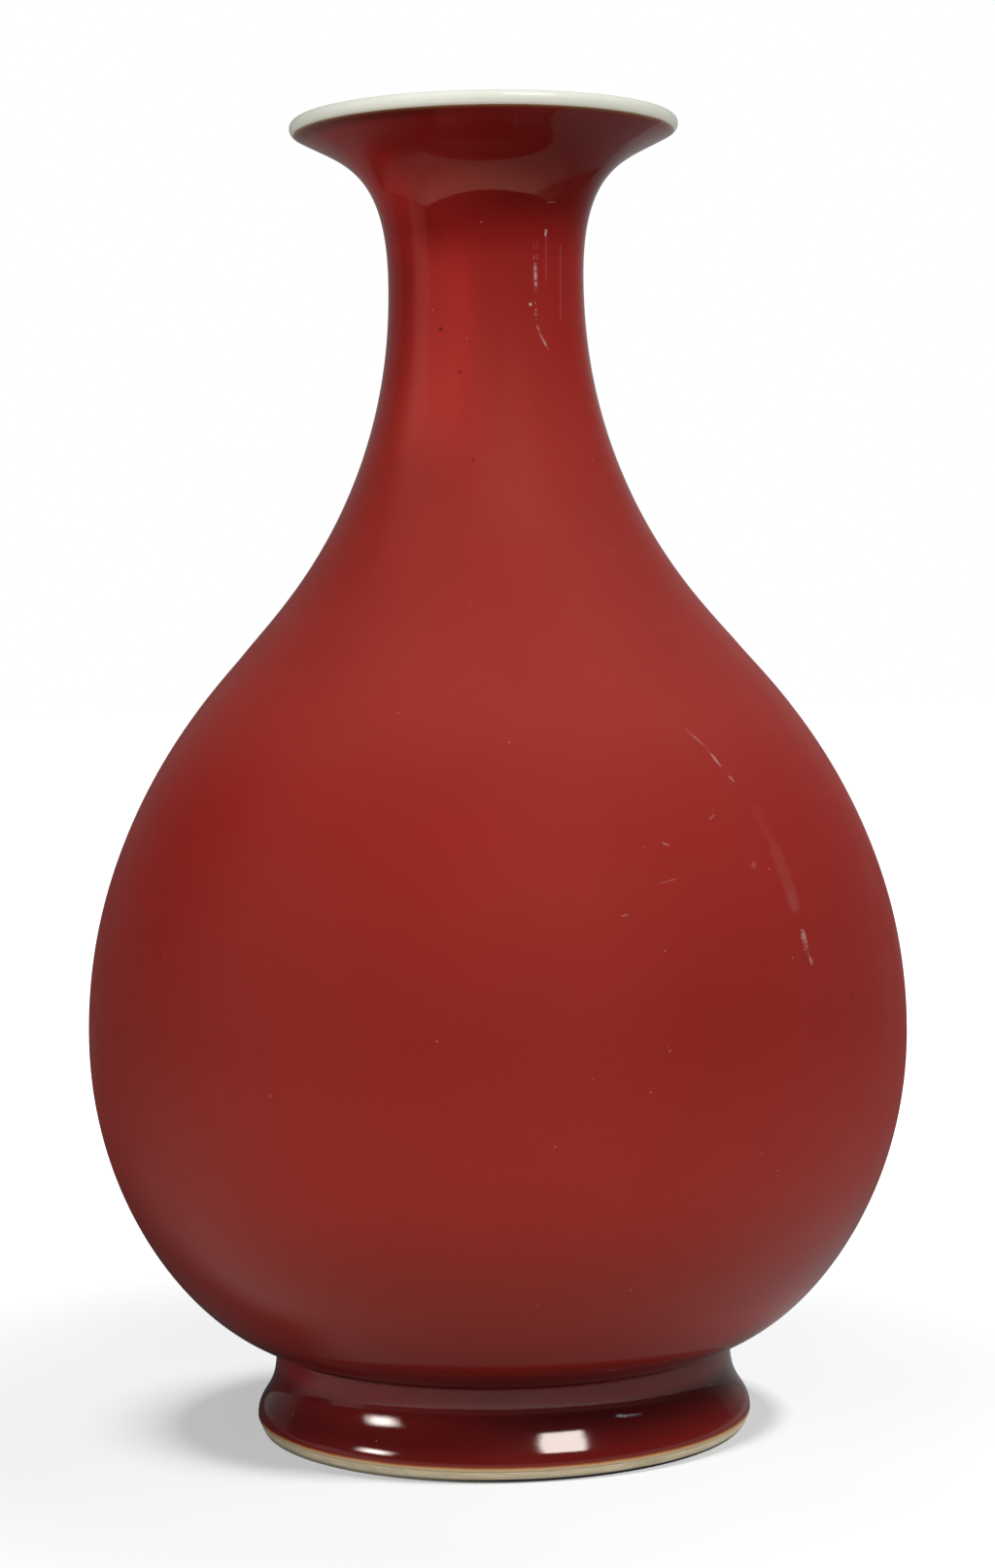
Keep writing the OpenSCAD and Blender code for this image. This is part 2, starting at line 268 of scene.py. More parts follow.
class Net:
    """Short names for the shader nodes of one material, or of another node tree."""

    def __init__(self, name=None, tree=None):
        if tree is not None:
            self.nt = tree
            self.nt.nodes.clear()
            return
        self.mat = bpy.data.materials.new(name)
        self.mat.use_nodes = True
        self.nt = self.mat.node_tree
        self.nt.nodes.clear()
        self.out = self.nt.nodes.new("ShaderNodeOutputMaterial")
        self.bsdf = self.nt.nodes.new("ShaderNodeBsdfPrincipled")
        self.nt.links.new(self.bsdf.outputs[0], self.out.inputs[0])
        tc = self.nt.nodes.new("ShaderNodeTexCoord")
        self.p = tc.outputs["Object"]
        sep = self.nt.nodes.new("ShaderNodeSeparateXYZ")
        self.nt.links.new(self.p, sep.inputs[0])
        self.x, self.y, self.z = sep.outputs

    def put(self, socket, value):
        if isinstance(value, bpy.types.NodeSocket):
            self.nt.links.new(value, socket)
        elif value is not None:
            socket.default_value = value

    def node(self, kind, out=0, **kw):
        n = self.nt.nodes.new("ShaderNode" + kind)
        sockets = kw.pop("sockets", {})
        for k, v in kw.items():
            setattr(n, k, v)
        for k, v in sockets.items():
            self.put(n.inputs[k], v)
        return n.outputs[out]

    def math(self, op, a, b=None, c=None, clamp=False):
        return self.node("Math", operation=op, use_clamp=clamp, sockets={0: a, 1: b, 2: c})

    def add(self, a, b):
        return self.math("ADD", a, b)

    def sub(self, a, b):
        return self.math("SUBTRACT", a, b)

    def mul(self, a, b):
        return self.math("MULTIPLY", a, b)

    def span(self, v, a, b, c=0.0, d=1.0, smooth=True):
        """v from a..b to c..d, clamped."""
        return self.node("MapRange", interpolation_type="SMOOTHSTEP" if smooth else "LINEAR",
                         sockets={0: v, 1: a, 2: b, 3: c, 4: d})

    def scaled(self, k, p=None):
        return self.node("VectorMath", operation="MULTIPLY", sockets={0: p or self.p, 1: k})

    def noise(self, scale, p=None, detail=2.0, rough=0.5, warp=0.0):
        return self.node("TexNoise", sockets={"Vector": p or self.p, "Scale": scale, "Detail": detail,
                                              "Roughness": rough, "Distortion": warp})

    def cells(self, scale, p=None):
        """Distance to the nearest of points strewn in space, and that point's random colour."""
        n = self.nt.nodes.new("ShaderNodeTexVoronoi")
        self.put(n.inputs["Vector"], p or self.p)
        self.put(n.inputs["Scale"], scale)
        return n.outputs["Distance"], n.outputs["Color"]

    def mix(self, f, a, b, blend="MIX"):
        n = self.nt.nodes.new("ShaderNodeMix")
        n.data_type = "RGBA"
        n.blend_type = blend
        self.put(n.inputs[0], f)
        self.put(n.inputs[6], a if isinstance(a, bpy.types.NodeSocket) else (*a, 1))
        self.put(n.inputs[7], b if isinstance(b, bpy.types.NodeSocket) else (*b, 1))
        return n.outputs[2]

    def ramp(self, f, stops):
        n = self.nt.nodes.new("ShaderNodeValToRGB")
        e = n.color_ramp.elements
        while len(e) > 1:
            e.remove(e[-1])
        e[0].position, e[0].color = stops[0][0], (*stops[0][1], 1)
        for pos, col in stops[1:]:
            s = e.new(pos)
            s.color = (*col, 1)
        self.put(n.inputs[0], f)
        return n.outputs[0]

    def grey(self, v):
        return self.node("CombineColor", sockets={0: v, 1: v, 2: v})

    def line(self, a, b, width):
        """1 along the line from a to b, (x, z) in millimetres on the front, and 0 from width beside it."""
        step = Vector((b[0] - a[0], b[1] - a[1], 0))
        flat = self.node("CombineXYZ", sockets={0: self.mul(self.x, MM), 1: self.mul(self.z, MM), 2: 0.0})
        rel = self.node("VectorMath", operation="SUBTRACT", sockets={0: flat, 1: (a[0], a[1], 0)})
        along = self.node("VectorMath", out=1, operation="DOT_PRODUCT", sockets={0: rel, 1: tuple(step)})
        t = self.math("DIVIDE", along, max(step.length_squared, 1e-6), clamp=True)
        foot = self.node("VectorMath", operation="SCALE", sockets={0: tuple(step), 3: t})
        d = self.node("VectorMath", out=1, operation="DISTANCE", sockets={0: rel, 1: foot})
        return self.span(d, width, width * 0.3)

    def lines(self, strokes):
        """The strongest of several lines (a, b, width, strength), on the front only."""
        best = 0.0
        for a, b, width, strength in strokes:
            best = self.math("MAXIMUM", best, self.mul(self.line(a, b, width), strength))
        return self.mul(best, self.math("LESS_THAN", self.y, 0.0))

    def bump(self, height, distance, normal=None):
        n = self.nt.nodes.new("ShaderNodeBump")
        self.put(n.inputs["Height"], height)
        n.inputs["Strength"].default_value = 1.0
        n.inputs["Distance"].default_value = distance
        if normal is not None:
            self.put(n.inputs["Normal"], normal)
        return n.outputs[0]

    def finish(self, color, rough, normal=None, **fixed):
        b = self.bsdf.inputs
        self.put(b["Base Color"], color)
        self.put(b["Roughness"], rough)
        if normal is not None:
            self.put(b["Normal"], normal)
        for k, v in fixed.items():
            b[k.replace("_", " ")].default_value = v
        return self.mat


# Height on the vase in millimetres is z times this.
MM = 1000.0


# Fine scratches, rubs and pits on the front: ends as (x, z) in millimetres, width, strength
SCRATCHES = [
    ((10.64, 264.9), (10.60, 261.9), 0.26, 0.24), ((11.41, 265.9), (11.35, 261.9), 0.24, 0.18),
    ((10.90, 260.7), (10.91, 254.5), 0.48, 0.70), ((10.77, 252.2), (11.01, 247.5), 0.40, 0.60),
    ((11.01, 247.5), (11.93, 244.9), 0.36, 0.55), ((11.93, 244.9), (13.39, 242.2), 0.36, 0.70),
    ((40.11, 159.6), (44.52, 155.6), 0.28, 0.22), ((44.52, 155.6), (46.86, 152.4), 0.34, 0.42),
    ((46.86, 152.4), (50.03, 148.5), 0.32, 0.34), ((63.66, 117.1), (64.40, 113.7), 0.75, 0.50),
    ((64.40, 113.7), (65.61, 110.4), 0.40, 0.36),
]
RUBS = [
    ((9.69, 251.9), (9.69, 251.8), 0.45, 0.90), ((13.38, 268.1), (13.25, 267.1), 0.33, 0.80),
    ((13.36, 267.1), (13.22, 257.2), 0.22, 0.09), ((16.60, 265.1), (16.35, 249.1), 0.22, 0.09),
    ((13.87, 274.0), (15.61, 274.3), 0.22, 0.12), ((54.60, 142.3), (58.44, 134.2), 1.3, 0.02),
    ((58.44, 134.2), (61.44, 125.6), 1.8, 0.035), ((61.44, 125.6), (62.15, 122.4), 1.6, 0.06),
    ((34.35, 136.9), (35.35, 136.5), 0.26, 0.26), ((33.45, 129.1), (36.71, 129.7), 0.24, 0.11),
    ((44.45, 141.2), (45.33, 141.9), 0.26, 0.18), ((25.48, 123.0), (26.47, 123.1), 0.26, 0.22),
    ((53.47, 131.5), (53.45, 131.3), 0.8, 0.10),
]
PITS = [((-10.09, 246.8), (-10.10, 246.7), 0.50, 0.85), ((-6.07, 237.2), (-6.08, 237.1), 0.45, 0.75),
        ((-3.39, 217.8), (-3.39, 217.7), 0.45, 0.75)]
# A painted bluish reflection on the foot: ends as (x, z) in millimetres, width, strength
FOOT_REFLECTION_MARKS = [((23.57, 12.0), (26.33, 11.5), 0.40, 0.45), ((26.33, 11.5), (29.56, 11.3), 0.35, 0.40)]


def red_glaze_material(name, tint, foot=False):
    g = Net(name)
    z = g.mul(g.z, MM)
    rad = g.math("SQRT", g.add(g.mul(g.x, g.x), g.mul(g.y, g.y)))
    cloud = g.span(g.noise(17.0, detail=5.0, rough=0.55), 0.32, 0.68)
    # From -1 on the left to 1 on the right, with a soft unevenness
    around = g.add(g.math("DIVIDE", g.x, rad), g.mul(g.sub(cloud, 0.5), 0.12))
    edge = g.mul(g.sub(g.noise(160.0, detail=4.0, rough=0.65), 0.5), 0.55)
    if foot:
        # The coat has run down and lies thick on the foot, where it is darkest; it thins to bright red at its edge.
        # Painted on it: shade up under the belly, lighter low down, shade on the right and light on the left
        depth = g.ramp(g.span(z, 0.0, 20.0, smooth=False), [(h / 20, (v / 3, v / 3, v / 3)) for h, v in FOOT_BY_Z])
        right = g.mul(g.ramp(g.span(z, 0.0, 20.0, smooth=False), [(h / 20, (v / 2, v / 2, v / 2)) for h, v in FOOT_RIGHT]), 2.0)
        left = g.span(z, 7.0, 12.5, 0.90, 1.95)
        depth = g.mul(g.mul(depth, 3.0), g.span(around, 0.35, -0.75, right, left))
        base = g.mix(1.0, FOOT_RED, g.grey(depth), "MULTIPLY")
        # Painted shade on the top of the foot under the belly, lighter to the left, with a painted reflection at the
        # far left
        waist = g.mix(1.0, CREASE_SHADE_RED, g.grey(g.add(g.span(around, 0.0, -0.6, 1.0, 1.75), g.span(around, -0.62, -0.92, 0.0, 0.8))), "MULTIPLY")
        base = g.mix(g.span(z, 13.0, 16.5), base, waist)
        base = g.mix(1.0, base, g.grey(g.span(cloud, 0.0, 1.0, 0.94, 1.06)), "MULTIPLY")
        base = g.mix(g.span(g.add(z, edge), 5.2, 3.6), base, (0.150, 0.0060, 0.0052))
    else:
        # Clouds in the copper red, from a thinner or thicker coat; a purer red up the neck
        base = g.mix(cloud, (0.292, 0.0203, 0.0150), (0.314, 0.0223, 0.0166))
        neck = g.mix(cloud, (0.292, 0.0152, 0.0128), (0.314, 0.0166, 0.0141))
        base = g.mix(g.span(z, 215.0, 262.0), base, neck)
        # Painted reflection of a side panel: a lighter broad band down the left of the neck
        run = g.mul(g.span(around, -0.84, -0.56), g.span(around, 0.05, -0.30))
        run = g.mul(run, g.mul(g.span(z, 212.0, 234.0), g.span(z, 272.0, 256.0)))
        # The flare is darker, and lighter on its left side
        by_z = g.ramp(g.span(z, 255.0, 300.0, smooth=False), [((h - 255) / 45, (v, v, v)) for h, v in FLARE_BY_Z])
        flare_side = g.span(around, 0.45, -0.75, 0.90, 1.9)
        flare_side = g.add(1.0, g.mul(g.sub(flare_side, 1.0), g.span(z, 268.0, 277.0)))
        coat = g.mul(g.mul(by_z, flare_side), g.add(1.0, g.mul(run, 0.34)))
        left = g.mul(g.span(around, -0.50, -0.74), g.mul(g.span(z, 260.0, 267.0), g.span(z, 289.0, 284.0)))
        coat = g.mul(coat, g.add(1.0, g.mul(left, 0.32)))
        # Lighter or darker with height; the darkening just above the crease is painted shade
        tone_by_height = g.ramp(g.span(z, 0.0, 300.0, smooth=False), [(h / 300, (v / 2, v / 2, v / 2)) for h, v in COAT_BY_Z])
        coat = g.mul(coat, g.mul(tone_by_height, 2.0))
        low = g.mul(g.span(z, 40.0, 32.0), g.span(around, 0.35, 0.90))
        coat = g.mul(coat, g.add(1.0, g.mul(low, 0.35)))
        base = g.mix(1.0, base, g.grey(coat), "MULTIPLY")
        pure = g.ramp(g.span(z, 0.0, 300.0, smooth=False), [(h / 300, (1.0, v, v)) for h, v in PURE_BY_Z])
        base = g.mix(1.0, base, pure, "MULTIPLY")
        # Runs of the glaze down the neck and shoulder
        runs = g.noise(230.0, p=g.scaled((1, 1, 0.045)), detail=3.0, rough=0.6)
        runs_where = g.mul(g.span(z, 150.0, 235.0), 0.11)
        runs_k = g.add(1.0, g.mul(g.sub(runs, 0.5), runs_where))
        base = g.mix(1.0, base, g.grey(runs_k), "MULTIPLY")
        # Painted shade: darker towards the crease
        base = g.mix(g.span(z, 28.0, 20.5), base, CREASE_SHADE_RED)
    # Fine grain of the glaze
    grain = g.noise(2300.0, detail=1.0)
    base = g.mix(1.0, base, g.grey(g.span(grain, 0.25, 0.75, 0.95, 1.05, smooth=False)), "MULTIPLY")
    # Dark pinholes and pale specks
    d, c = g.cells(105.0)
    pick = g.node("SeparateColor", sockets={0: c})
    dark = g.mul(g.span(d, 0.045, 0.030), g.math("GREATER_THAN", pick, 0.86))
    base = g.mix(g.mul(dark, 0.75), base, (0.055, 0.004, 0.004))
    d2, c2 = g.cells(260.0)
    pick2 = g.node("SeparateColor", sockets={0: c2})
    pale = g.mul(g.span(d2, 0.055, 0.030), g.math("GREATER_THAN", pick2, 0.78))
    base = g.mix(g.mul(pale, 0.45), base, (0.62, 0.40, 0.36))
    # Scratches, broken along their length, and rubs; on the foot a painted bluish reflection instead
    broken = g.span(g.noise(420.0, p=g.scaled((0.3, 0.3, 1)), detail=5.0, rough=0.75), 0.44, 0.60)
    if foot:
        # Painted reflection: a bluish streak on the foot, broken along its length
        marks = g.mul(g.lines(FOOT_REFLECTION_MARKS), broken)
        base = g.mix(marks, base, (0.42, 0.44, 0.52))
        # Its lower edge goes to rust above the bare rim
        hem = g.ramp(g.span(g.add(z, g.mul(edge, 0.5)), 2.3, 3.9, smooth=False), [
            (0.0, (0.72, 0.56, 0.36)), (0.31, (0.68, 0.50, 0.29)), (0.50, (0.55, 0.27, 0.11)), (0.66, (0.34, 0.085, 0.030)),
            (0.81, (0.20, 0.022, 0.010)), (1.0, (0.150, 0.0070, 0.0055))])
        base = g.mix(g.span(z, 4.2, 3.3), base, hem)
    else:
        marks = g.math("MAXIMUM", g.mul(g.lines(SCRATCHES), broken), g.lines(RUBS))
        base = g.mix(marks, base, (0.60, 0.40, 0.39))
        base = g.mix(g.lines(PITS), base, (0.085, 0.005, 0.005))
        # The coat thins to brown and tan at the lip
        lip = g.ramp(g.span(g.add(z, g.mul(edge, 0.5)), 290.9, 292.0, smooth=False), [
            (0.0, (0.200, 0.0125, 0.0105)), (0.35, (0.185, 0.016, 0.011)), (0.60, (0.25, 0.070, 0.030)),
            (0.85, (0.44, 0.29, 0.14)), (1.0, (0.60, 0.54, 0.39))])
        base = g.mix(g.span(z, 289.8, 291.0), base, lip)
    # Gloss, a little uneven
    satin = g.ramp(g.span(z, 0.0, 300.0, smooth=False), [(h / 300, (v, v, v)) for h, v in SATIN_BY_Z])
    rough = g.mul(satin, g.span(g.noise(60.0, detail=4.0, rough=0.6), 0.3, 0.7, 0.9, 1.1))
    peel = g.noise(620.0, detail=2.0, rough=0.45)
    swell = g.noise(95.0, detail=1.0)
    n1 = g.bump(peel, 0.000006 if foot else 0.000014)
    n2 = g.bump(swell, 0.00003, n1)
    return g.finish(base, rough, n2, IOR=1.5, Specular_Tint=(*tint, 1))


FOOT_RED = (0.054, 0.0030, 0.0027)
FOOT_BY_Z = [(0, 2.4), (5, 2.3), (7, 1.9), (10, 1.42), (13, 1.15), (20, 1.1)]
FOOT_RIGHT = [(0, 1.2), (5, 1.1), (8, 0.9), (12, 0.5), (20, 0.55)]
CREASE_SHADE_RED = (0.095, 0.0052, 0.0046)
FLARE_BY_Z = [(255, 1.0), (262, 1.0), (267, 0.86), (271, 0.68), (274, 0.57), (279, 0.58), (282, 0.53), (285, 0.55), (288, 0.60), (291, 0.62), (300, 0.62)]
COAT_BY_Z = [(0, 0.72), (20.8, 0.72), (23, 0.86), (43, 0.86), (53, 0.93), (64, 1.0), (74, 0.97), (88, 0.92), (101, 0.86), (117, 0.88), (132, 0.94), (145, 1.0),
             (165, 1.10), (178, 1.07), (191, 1.03), (208, 1.04), (223, 1.09), (242, 1.06), (262, 1.0), (300, 1.0)]
PURE_BY_Z = [(0, 1.0), (60, 0.96), (90, 0.86), (107, 0.78), (125, 0.65), (140, 0.60), (150, 0.74), (160, 1.0), (172, 1.05), (185, 1.0), (300, 1.0)]
SATIN_BY_Z = [(0, 0.055), (6, 0.08), (10, 0.08), (13, 0.055), (20, 0.05), (26, 0.12), (45, 0.19), (60, 0.36), (75, 0.48), (100, 0.48), (140, 0.42), (195, 0.36), (222, 0.22),
              (244, 0.11), (262, 0.06), (300, 0.05)]


def white_glaze_material():
    g = Net("white_glaze")
    z = g.mul(g.z, MM)
    cloud = g.noise(30.0, detail=4.0, rough=0.55)
    base = g.mix(g.span(cloud, 0.3, 0.7), (0.76, 0.785, 0.675), (0.81, 0.82, 0.715))
    d, c = g.cells(260.0)
    pick = g.node("SeparateColor", sockets={0: c})
    speck = g.mul(g.span(d, 0.055, 0.035), g.math("GREATER_THAN", pick, 0.92))
    base = g.mix(g.mul(speck, 0.5), base, (0.33, 0.25, 0.16))
    edge = g.mul(g.sub(g.noise(160.0, detail=4.0, rough=0.65), 0.5), 0.55)
    lip = g.ramp(g.span(g.add(z, g.mul(edge, 0.5)), 291.3, 292.3, smooth=False), [
        (0.0, (0.42, 0.27, 0.13)), (0.30, (0.60, 0.54, 0.39)), (0.65, (0.72, 0.72, 0.59)), (1.0, (0.79, 0.80, 0.68))])
    # Only on the outside of the lip, where the red coat ends; the lining stays white
    rad = g.mul(g.math("SQRT", g.add(g.mul(g.x, g.x), g.mul(g.y, g.y))), MM)
    base = g.mix(g.mul(g.mul(g.span(z, 292.9, 292.2), g.span(z, 285.0, 289.0)), g.span(rad, 41.0, 41.7)), base, lip)
    rough = g.span(g.noise(70.0, detail=3.0), 0.3, 0.7, 0.04, 0.085)
    n1 = g.bump(g.noise(420.0, detail=2.0), 0.000006)
    return g.finish(base, rough, n1, IOR=1.5)


def porcelain_material(name, light, dark):
    g = Net(name)
    rad = g.node("VectorMath", out=1, operation="LENGTH", sockets={0: g.scaled((1, 1, 0))})
    ringed = g.node("CombineXYZ", sockets={0: g.mul(rad, 1.0), 1: g.mul(g.math("ARCTAN2", g.y, g.x), 0.004), 2: g.z})
    rings = g.noise(1900.0, p=ringed, detail=3.0, rough=0.6)
    stain = g.noise(85.0, detail=5.0, rough=0.65)
    base = g.mix(g.span(rings, 0.3, 0.7), dark, light)
    base = g.mix(g.mul(g.span(stain, 0.52, 0.72), 0.45), base, (0.30, 0.22, 0.13))
    grain = g.noise(5200.0, detail=2.0)
    base = g.mix(1.0, base, g.grey(g.span(grain, 0.25, 0.75, 0.88, 1.10, smooth=False)), "MULTIPLY")
    # Painted contact shade round the edge that it stands on, darker on one side
    painted_contact_shade = g.mul(g.span(g.mul(g.z, MM), 0.95, 0.50), g.span(g.math("DIVIDE", g.x, rad), -0.60, 0.10, 0.35, 1.0))
    base = g.mix(painted_contact_shade, base, (0.020, 0.020, 0.024))
    n1 = g.bump(rings, 0.00006)
    n2 = g.bump(grain, 0.00003, n1)
    rough = g.span(stain, 0.3, 0.7, 0.62, 0.80)
    return g.finish(base, rough, n2, IOR=1.45)


red_mat = red_glaze_material("copper_red_glaze", (1.0, 0.50, 0.36))
foot_mat = red_glaze_material("copper_red_glaze_foot", (1.0, 0.92, 0.85), foot=True)
white_mat = white_glaze_material()
clay_mat = porcelain_material("porcelain", (0.80, 0.68, 0.47), (0.62, 0.52, 0.34))
slip_mat = porcelain_material("luting_slip", (0.62, 0.57, 0.47), (0.52, 0.47, 0.37))

# ---- pieces -----------------------------------------------------------------------------------

SEGS = 256

# Red coat above the foot: from the crease over the belly and the neck to the lip, then back along the porcelain
crease = np.array([CREASE_MID + CREASE_R * turn(180 - (90 - CREASE_SLOPE) * i / 10) for i in range(10)])
face_u = np.concatenate([
    even_places(CREASE_END, 1.0, 1.6)[:-1], even_places(1.0, 2.0, 1.6)[:-1],
    even_places(2.0, 3.0, 1.6)[:-1], even_places(3.0, 4.0, 0.55)])
back_u = np.concatenate([even_places(0.0, 3.0, 6.0)[:-1], even_places(3.0, 4.0, 2.0)])
wall_join = [[WAIST_R, CREASE_MID[1]], [CORE_R, CREASE_MID[1]]]
body_rings = np.vstack([crease, on(face_u), below(back_u, red_depth(back_u))[::-1], CORE_CORNER, wall_join[1]])
body_coat = lathe("red_glaze", body_rings, SEGS, red_mat, shown=len(crease) + len(face_u) - 1)

# Red coat of the foot, from its rounded edge above the bare rim up to the crease
bead = np.array([[RIM_R + (FOOT_R - RIM_R) * math.cos(math.radians(-90 + 9 * i)),
                  BARE_H + BEAD_H + BEAD_H * math.sin(math.radians(-90 + 9 * i))] for i in range(10)])
waist = np.array([[WAIST_R, CREASE_MID[1] - 0.25], [WAIST_R, CREASE_MID[1]]])
foot_rings = np.vstack([bead, foot_face(40), waist, wall_join[1], foot_outer(20)[::-1]])
foot_coat = lathe("red_glaze_foot", foot_rings, SEGS, foot_mat, shown=len(bead) + 41 + len(waist) - 1)

# White glaze on the lip, in the vase and under the foot
lip_coat = lathe("lip_glaze", np.vstack([lip_arc(LIP_R, 28), lip_arc(LIP_R - WHITE_T, 12)[::-1]]), SEGS, white_mat, shown=28)
in_u = np.concatenate([even_places(0.0, 3.0, 3.0)[:-1], even_places(3.0, 4.0, 1.0)])
wall_d, lining_d = wall_depth(in_u), wall_depth(in_u) + WHITE_T
lining, porcelain_in = below(in_u, lining_d), below(in_u, wall_d)
inner_rings = np.vstack([
    dish(lining[0], WHITE_T, 24)[::-1], lining[1:], porcelain_in[::-1], dish(porcelain_in[0], 0, 12)[1:]])
# The lining is seen from inside the vase, so its section runs the other way round.
inner_coat = lathe("inner_glaze", inner_rings[::-1], SEGS, white_mat)
slant = HOLLOW_LOW - np.array([HOLLOW_R, FOOT_JOINT_Z])
slant /= np.linalg.norm(slant)
inset = WHITE_T * np.array([slant[1], -slant[0]])
corner = np.array([HOLLOW_R - WHITE_T, BASE_Z - WHITE_T])
base_rings = np.vstack([
    [[0, BASE_Z - WHITE_T]],
    np.stack([np.linspace(6, corner[0] - 1.8, 9), np.full(9, BASE_Z - WHITE_T)], 1),
    [corner - [1.2, 1.2] + 1.2 * turn(90 - 7.5 * i) for i in range(13)],
    [HOLLOW_LOW + inset + [0, 0.3], HOLLOW_LOW, [HOLLOW_R, FOOT_JOINT_Z], [HOLLOW_R, BASE_Z], [0, BASE_Z]]])
base_coat = lathe("base_glaze", base_rings, 192, white_mat)

# Turned foot ring with its bare rim
rim_out = bezier([[REST_OUT, 0], [REST_OUT + 0.7, 0], [RIM_R - 0.25, BARE_H - 1.3], [RIM_R, BARE_H]], np.linspace(0, 1, 15))
rim_in = bezier([HOLLOW_LOW, [REST_IN - 1.7, BARE_IN_H - 1.4], [REST_IN - 0.8, 0], [REST_IN, 0]], np.linspace(0, 1, 15))
ring_rings = np.vstack([rim_out, foot_outer(20), [[CORE_R, FOOT_JOINT_Z], [HOLLOW_R, FOOT_JOINT_Z]], rim_in])
foot_ring = lathe("foot_ring", ring_rings, 192, clay_mat)

for piece, node, slot in [
    (body_coat, "red_glaze", "copper_red_glaze"), (foot_coat, "red_glaze", "copper_red_glaze"),
    (lip_coat, "lip_glaze", "white_glaze"), (inner_coat, "inner_glaze", "white_glaze"),
    (base_coat, "base_glaze", "white_glaze"), (foot_ring, "foot_ring", "porcelain"),
]:
    piece.name = piece.data.name = {body_coat: "red_glaze_body"}.get(piece, piece.name.split(".")[0] + "_turned")
    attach(piece, "root")
    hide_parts(node)

for name in ("neck_section", "upper_belly", "lower_belly"):
    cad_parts[name].data.materials.clear()
    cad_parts[name].data.materials.append(clay_mat)
for name in ("neck_joint_slip", "belly_joint_slip", "foot_joint_slip"):
    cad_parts[name].data.materials.clear()
    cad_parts[name].data.materials.append(slip_mat)

# ---- stage, camera and light ----------------------------------------------------------------------


def plane(name, corners, mat):
    me = bpy.data.meshes.new(name)
    me.from_pydata([Vector(c) for c in corners], [], [tuple(range(len(corners)))])
    me.materials.append(mat)
    ob = bpy.data.objects.new(name, me)
    scene.collection.objects.link(ob)
    return ob


def floor_material():
    """The pale floor that the camera sees; it glows, dim round the vase and running out to white away from it."""
    g = Net("studio_floor")
    soft = g.noise(6.0, detail=2.0)
    g.put(g.bsdf.inputs["Base Color"], g.grey(g.span(soft, 0.3, 0.7, 0.098, 0.102)))
    g.bsdf.inputs["Roughness"].default_value = 1.0
    g.bsdf.inputs["Specular IOR Level"].default_value = 0.0
    g.bsdf.inputs["Emission Color"].default_value = (1, 1, 1, 1)
    far = g.math("SQRT", g.add(g.mul(g.x, g.x), g.mul(g.y, g.y)))
    g.put(g.bsdf.inputs["Emission Strength"], g.span(far, 0.10, 0.45, FLOOR_GLOW, 1.1))
    return g.mat


def table_material():
    """A glowing stand-in for the lit table, as the gloss mirrors it and as it lights the matt part of the look.
    It is brighter in front, dimmer far off, and the shade of the vase lies behind it on the left."""
    g = Net("studio_table")
    x, y = g.mul(g.x, MM), g.mul(g.y, MM)
    r = g.math("SQRT", g.add(g.mul(x, x), g.mul(y, y)))
    # Shade: a band from the vase to the back left, along the direction (-0.78, 0.62), softer further off
    side = g.add(g.mul(x, -0.62), g.mul(y, -0.78))
    away = g.add(g.mul(x, -0.78), g.mul(y, 0.62))
    soft = g.span(away, 30.0, 260.0, 0.0, 60.0)
    shade = g.mul(g.span(side, g.add(84.0, soft), g.sub(68.0, soft)), g.span(side, g.sub(-110.0, soft), g.add(-85.0, soft)))
    shade = g.mul(shade, g.span(away, 0.0, 30.0))
    # Painted shade close round the foot
    shade_round_foot = g.span(r, 54.0, 95.0, 0.35, 1.0)
    # What the gloss mirrors
    gloss = g.ramp(g.span(y, -450.0, 350.0, smooth=False), [((h + 450) / 800, (v / 2, v / 2, v / 2)) for h, v in TABLE_BY_Y])
    gloss = g.mul(g.mul(gloss, 2.0), g.span(x, 430.0, 540.0, 1.0, 0.3))
    gloss = g.mul(g.mul(gloss, shade_round_foot), g.sub(1.0, g.mul(shade, 0.82)))
    # What lights the matt part
    front = g.span(y, -140.0, -260.0, 0.33, 0.28)
    back = g.span(r, 130.0, 620.0, 0.88, 0.28)
    matt = g.mix(g.span(y, -60.0, 60.0), g.grey(front), g.grey(back))
    matt = g.mul(g.mul(matt, shade_round_foot), g.sub(1.0, g.mul(shade, 0.82)))
    matt = g.mul(matt, g.span(x, -120.0, -300.0, 1.0, 1.8))
    path = g.nt.nodes.new("ShaderNodeLightPath")
    emit = g.nt.nodes.new("ShaderNodeEmission")
    g.put(emit.inputs[0], g.mix(path.outputs["Is Diffuse Ray"], g.grey(gloss), g.grey(matt)))
    g.nt.links.new(emit.outputs[0], g.out.inputs[0])
    g.mat.cycles.emission_sampling = "NONE"
    return g.mat


def flag_material():
    """A dark flag over the table, which only the foot sees from below; from above it is clear."""
    g = Net("studio_flag")
    emit = g.node("Emission", sockets={0: (0.05, 0.05, 0.05, 1)})
    clear = g.node("BsdfTransparent")
    m = g.node("MixShader", sockets={0: g.node("NewGeometry", out="Backfacing"), 1: clear, 2: emit})
    g.nt.links.new(m, g.out.inputs[0])
    g.mat.cycles.emission_sampling = "NONE"
    return g.mat


TABLE_BY_Y = [(-450, 1.20), (-300, 1.05), (-220, 0.85), (-150, 0.62), (-100, 0.50), (-50, 0.48), (0, 0.36),
              (50, 0.27), (110, 0.20), (250, 0.18), (350, 0.17)]
FLOOR_GLOW = 0.10
floor = plane("studio_floor", [(-4, -2, 0), (4, -2, 0), (4, 6, 0), (-4, 6, 0)], floor_material())
floor.visible_glossy = floor.visible_diffuse = floor.visible_shadow = False

